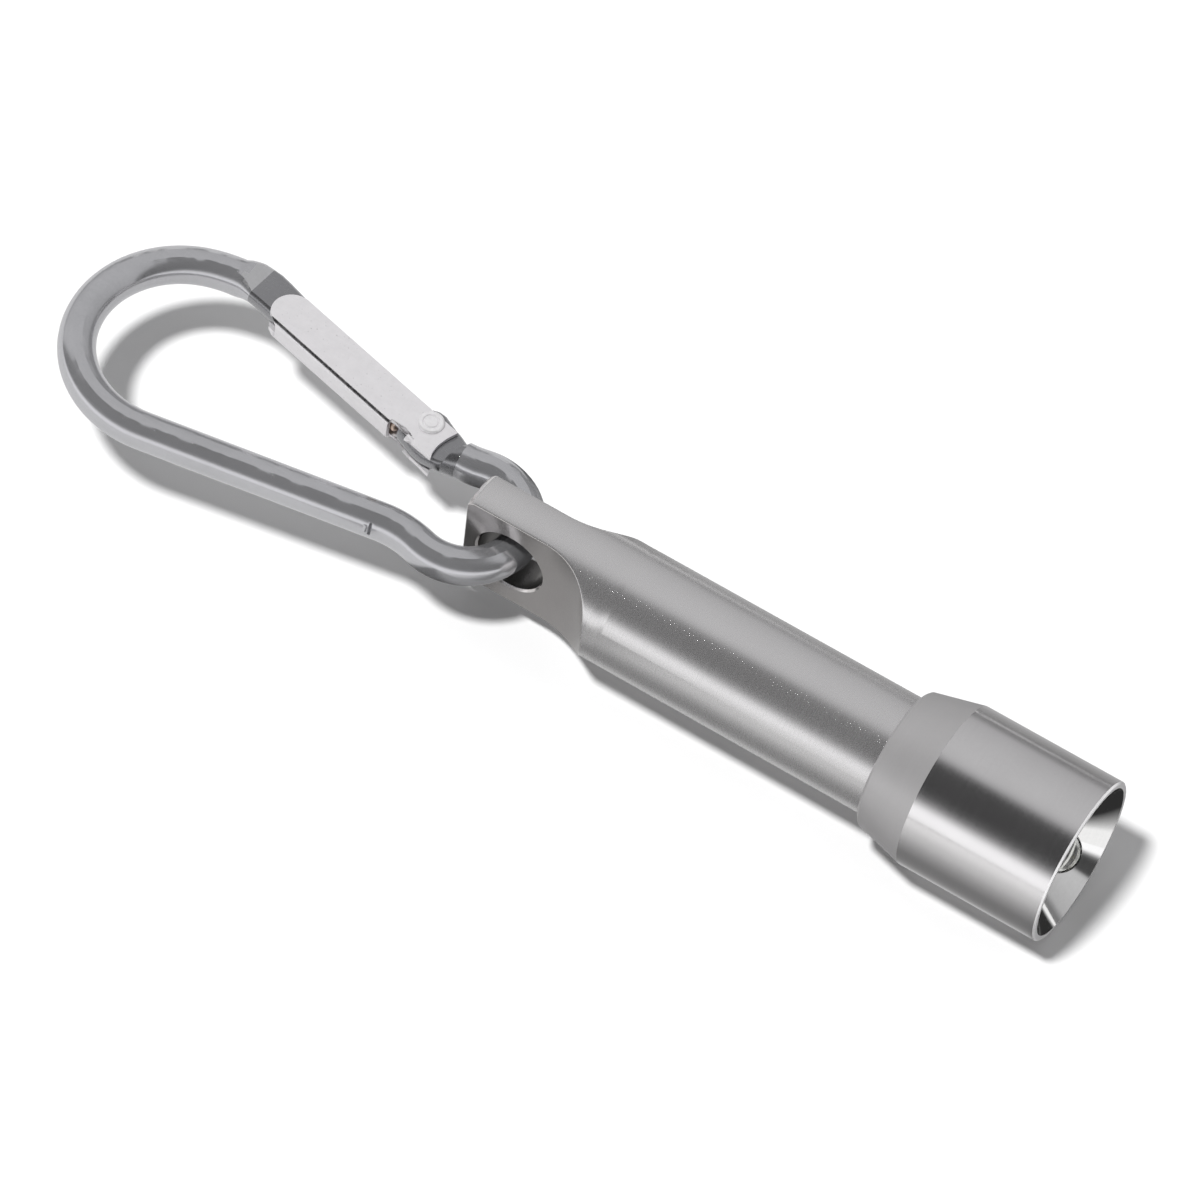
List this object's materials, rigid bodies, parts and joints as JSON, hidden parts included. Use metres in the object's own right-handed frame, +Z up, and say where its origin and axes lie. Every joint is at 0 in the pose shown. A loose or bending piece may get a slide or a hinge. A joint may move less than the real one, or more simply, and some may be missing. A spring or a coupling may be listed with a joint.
{
  "type": "keychain flashlight",
  "caption": "Slim turned-metal keychain flashlight with a conical reflector head, a milled hanging lug and a small wire carabiner with a sprung gate.",
  "frame": {"origin": "on the torch axis, at the middle of the barrel's plain cylinder between the lug's run-out and the head's rear edge", "axes": "+X along the torch axis towards the reflector, +Y towards the carabiner's gate side, along the lug's cross hole, +Z up, square to the lug's hole"},
  "size_m": [0.1283, 0.029, 0.0192],
  "materials": {
    "satin_aluminium": "fine turned satin, blasted grain",
    "wire_metal": "polished, with faint draw lines; plated steel is assumed, and aluminium would be 8 g lighter",
    "gate_sheet": "matt rolled sheet with small pits",
    "rivet_metal": "matt, pressed head",
    "plunger_metal": "dull copper-tinted",
    "spring_steel": "drawn wire",
    "cell_nickel": "nickel-plated, bright",
    "cell_cap_steel": "nickel-plated, fine grain",
    "gasket_plastic": "moulded nylon",
    "seal_rubber": "black nitrile, lightly greased",
    "holder_plastic": "black moulded",
    "board_laminate": "green solder mask",
    "gilt_contact": "gilt, smooth",
    "resistor_ceramic": "matt body",
    "clear_epoxy": "clear, polished",
    "lead_frame": "silver-plated, bright",
    "phosphor": "yellow phosphor",
    "solder": "bright solder"
  },
  "bodies": {
    "barrel": {"barrel": "satin_aluminium", "o_ring": "seal_rubber", "tail_spring": "spring_steel"},
    "cells": {"cell_1_can": "cell_nickel", "cell_1_gasket": "gasket_plastic", "cell_1_cap": "cell_cap_steel", "cell_2_can": "cell_nickel", "cell_2_gasket": "gasket_plastic", "cell_2_cap": "cell_cap_steel", "cell_3_can": "cell_nickel", "cell_3_gasket": "gasket_plastic", "cell_3_cap": "cell_cap_steel"},
    "head": {"head_shell": "satin_aluminium", "led_holder": "holder_plastic", "led_board": "board_laminate", "contact_ring": "gilt_contact", "centre_contact": "gilt_contact", "board_resistor": "resistor_ceramic", "led_lens": "clear_epoxy", "led_leads": "lead_frame", "led_chip": "phosphor", "solder_joints": "solder"},
    "carabiner": {"carabiner_body": "wire_metal"},
    "gate": {"gate_channel": "gate_sheet", "gate_rivet": "rivet_metal", "gate_spring": "spring_steel"},
    "plunger": {"gate_plunger": "plunger_metal"}
  },
  "joints": [
    {"name": "battery_advance", "type": "slide", "parent": "barrel", "child": "cells", "axis": [1, 0, 0], "range_m": [-0.00035, 0.0056], "deforming": ["tail_spring"]},
    {"name": "head_twist", "type": "hinge", "parent": "cells", "child": "head", "pos_m": [0, 0, 0], "axis": [1, 0, 0], "range_deg": [-100, 1800]},
    {"name": "carabiner_swing", "type": "hinge", "parent": "barrel", "child": "carabiner", "pos_m": [-0.03029, 0, 0], "axis": [0, 1, 0], "range_deg": [-132, 128]},
    {"name": "gate_open", "type": "hinge", "parent": "carabiner", "child": "gate", "pos_m": [-0.04618, 0.0071, 0.00055], "axis": [0.0349, 0, 0.9994], "range_deg": [0, 30], "stiffness_Nm_per_rad": 0.05, "springref_deg": -11.46},
    {"name": "plunger_slide", "type": "slide", "parent": "gate", "child": "plunger", "axis": [-0.9757, 0.2164, 0.0341], "range_m": [0, 0.0009], "deforming": ["gate_spring"]}
  ],
  "couplings": [
    {"joint": "battery_advance", "follows": "head_twist", "m_per_rad": 0.00015915},
    {"joint": "plunger_slide", "follows": "gate_open", "m_per_rad": 0.0015}
  ]
}
